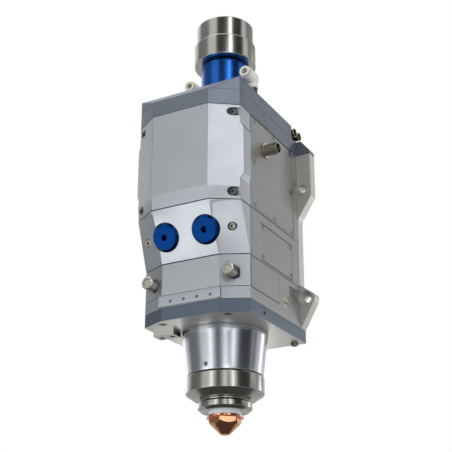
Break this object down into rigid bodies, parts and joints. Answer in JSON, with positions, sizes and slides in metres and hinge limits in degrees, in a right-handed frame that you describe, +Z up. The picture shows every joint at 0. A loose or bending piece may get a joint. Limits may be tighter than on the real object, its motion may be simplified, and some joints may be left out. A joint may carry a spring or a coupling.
{
  "type": "laser cutting head",
  "caption": "Laser cutting head with fibre receiver, lens housings, window drawer, centring screws and copper nozzle, bolted up by its rear plate.",
  "frame": {"origin": "centre of the four mounting holes on the rear face", "axes": "+Z up along the beam towards the fibre, +Y out of the rear face, -Y the front"},
  "size_m": [0.114, 0.1241, 0.3493],
  "materials": {
    "cover_silver": "satin anodised",
    "housing_grey": "fine blasted, anodised",
    "plate_grey": "anodised, blue grey",
    "blue_anodised": "blue anodised",
    "polished_steel": "turned and polished",
    "screw_steel": "satin",
    "nickel": "nickel plated",
    "ceramic_white": "glazed ceramic",
    "copper": "turned copper",
    "fitting_white": "moulded",
    "collet_cream": "moulded",
    "inner_aluminium": "machined",
    "ground_steel": "ground",
    "spindle_bronze": "machined",
    "motor_black": "satin black",
    "board_green": "lacquered",
    "lens_glass": "polished",
    "seal_rubber": "matt"
  },
  "bodies": {
    "head": {"front_cover": "cover_silver", "lens_front": "cover_silver", "band_front": "cover_silver", "port_strip": "cover_silver", "upper_housing": "housing_grey", "lens_housing": "housing_grey", "window_block": "housing_grey", "side_cover_right": "housing_grey", "side_cover_left": "housing_grey", "lens_cover_right": "housing_grey", "lens_cover_left": "housing_grey", "slide_guide_right": "housing_grey", "slide_guide_left": "housing_grey", "rear_plate": "housing_grey", "top_plate": "plate_grey", "top_cap": "plate_grey", "base_plate": "plate_grey", "collimator_tube": "blue_anodised", "nozzle_cone": "polished_steel", "sensor_insert": "polished_steel", "fibre_receiver": "polished_steel", "plug_block": "polished_steel", "cover_screws": "screw_steel", "base_screws": "screw_steel", "small_screws": "screw_steel", "pin_socket": "screw_steel", "coax_socket": "nickel", "signal_sockets": "nickel", "elbow_studs": "nickel", "ceramic_body": "ceramic_white", "motor_bracket": "inner_aluminium", "guide_rods": "ground_steel", "spindle_bearing": "ground_steel", "focus_motor": "motor_black", "drive_board": "board_green"},
    "lock_ring": {"lock_ring": "polished_steel"},
    "elbow_right": {"elbow_right": "fitting_white"},
    "elbow_left": {"elbow_left": "fitting_white"},
    "collet_right": {"release_collet_right": "collet_cream"},
    "collet_left": {"release_collet_left": "collet_cream"},
    "drawer": {"window_drawer": "cover_silver", "window_seal": "seal_rubber", "protective_window": "lens_glass", "window_keeper": "inner_aluminium"},
    "thumbscrew_right": {"thumbscrew_right": "screw_steel"},
    "thumbscrew_left": {"thumbscrew_left": "screw_steel"},
    "carriage": {"collimator_carriage": "inner_aluminium", "collimator_lens": "lens_glass", "collimator_ring": "inner_aluminium", "spindle_nut": "spindle_bronze"},
    "spindle": {"drive_spindle": "ground_steel"},
    "lens_slide_x": {"lens_slide_x": "inner_aluminium"},
    "lens_slide_y": {"lens_slide_y": "inner_aluminium", "focus_lens": "lens_glass", "focus_lens_ring": "inner_aluminium"},
    "adjuster_right": {"adjuster_right": "blue_anodised"},
    "adjuster_left": {"adjuster_left": "blue_anodised"},
    "clamp_ring": {"clamp_ring": "polished_steel"},
    "union_nut": {"union_nut": "polished_steel"},
    "nozzle": {"nozzle": "copper"}
  },
  "joints": [
    {"name": "lock_ring_turn", "type": "hinge", "parent": "head", "child": "lock_ring", "pos_m": [0, -0.0515, 0.163], "axis": [0, 0, 1], "range_deg": [0, 45]},
    {"name": "elbow_right_swivel", "type": "hinge", "parent": "head", "child": "elbow_right", "pos_m": [0.0413, -0.081, 0.11], "axis": [0, 0, 1], "continuous": true},
    {"name": "elbow_left_swivel", "type": "hinge", "parent": "head", "child": "elbow_left", "pos_m": [-0.0087, -0.081, 0.11], "axis": [0, 0, 1], "range_deg": [-70, 70]},
    {"name": "collet_right_press", "type": "slide", "parent": "elbow_right", "child": "collet_right", "axis": [0, 1, 0], "range_m": [0, 0.0012], "stiffness_N_per_m": 400},
    {"name": "collet_left_press", "type": "slide", "parent": "elbow_left", "child": "collet_left", "axis": [0, 1, 0], "range_m": [0, 0.0012], "stiffness_N_per_m": 400},
    {"name": "drawer_slide", "type": "slide", "parent": "head", "child": "drawer", "axis": [0, -1, 0], "range_m": [0, 0.08]},
    {"name": "thumbscrew_right_turn", "type": "hinge", "parent": "drawer", "child": "thumbscrew_right", "pos_m": [0.034, -0.105, -0.052], "axis": [0, -1, 0], "continuous": true},
    {"name": "thumbscrew_left_turn", "type": "hinge", "parent": "drawer", "child": "thumbscrew_left", "pos_m": [-0.034, -0.105, -0.052], "axis": [0, -1, 0], "continuous": true},
    {"name": "focus_travel", "type": "slide", "parent": "head", "child": "carriage", "axis": [0, 0, 1], "range_m": [-0.008, 0.008]},
    {"name": "spindle_turn", "type": "hinge", "parent": "head", "child": "spindle", "pos_m": [0, -0.0255, 0.02], "axis": [0, 0, 1], "range_deg": [-1441, 1441]},
    {"name": "centring_x", "type": "slide", "parent": "head", "child": "lens_slide_x", "axis": [1, 0, 0], "range_m": [-0.001, 0.001]},
    {"name": "centring_y", "type": "slide", "parent": "lens_slide_x", "child": "lens_slide_y", "axis": [0, 1, 0], "range_m": [-0.001, 0.001]},
    {"name": "adjuster_right_turn", "type": "hinge", "parent": "head", "child": "adjuster_right", "pos_m": [0.017, -0.11317, -0.02], "axis": [0, -0.9181, -0.3963], "range_deg": [-180, 180]},
    {"name": "adjuster_left_turn", "type": "hinge", "parent": "head", "child": "adjuster_left", "pos_m": [-0.017, -0.11317, -0.02], "axis": [0, -0.9181, -0.3963], "range_deg": [-180, 180]},
    {"name": "clamp_ring_turn", "type": "hinge", "parent": "head", "child": "clamp_ring", "pos_m": [0, -0.0515, -0.125], "axis": [0, 0, 1], "continuous": true},
    {"name": "union_nut_turn", "type": "hinge", "parent": "head", "child": "union_nut", "pos_m": [0, -0.0515, -0.138], "axis": [0, 0, 1], "continuous": true},
    {"name": "nozzle_turn", "type": "hinge", "parent": "head", "child": "nozzle", "pos_m": [0, -0.0515, -0.15], "axis": [0, 0, 1], "continuous": true}
  ],
  "couplings": [
    {"joint": "spindle_turn", "follows": "focus_travel", "rad_per_m": 3141.6},
    {"joint": "adjuster_right_turn", "follows": "centring_x", "rad_per_m": 3141.6},
    {"joint": "adjuster_left_turn", "follows": "centring_y", "rad_per_m": 3141.6}
  ]
}
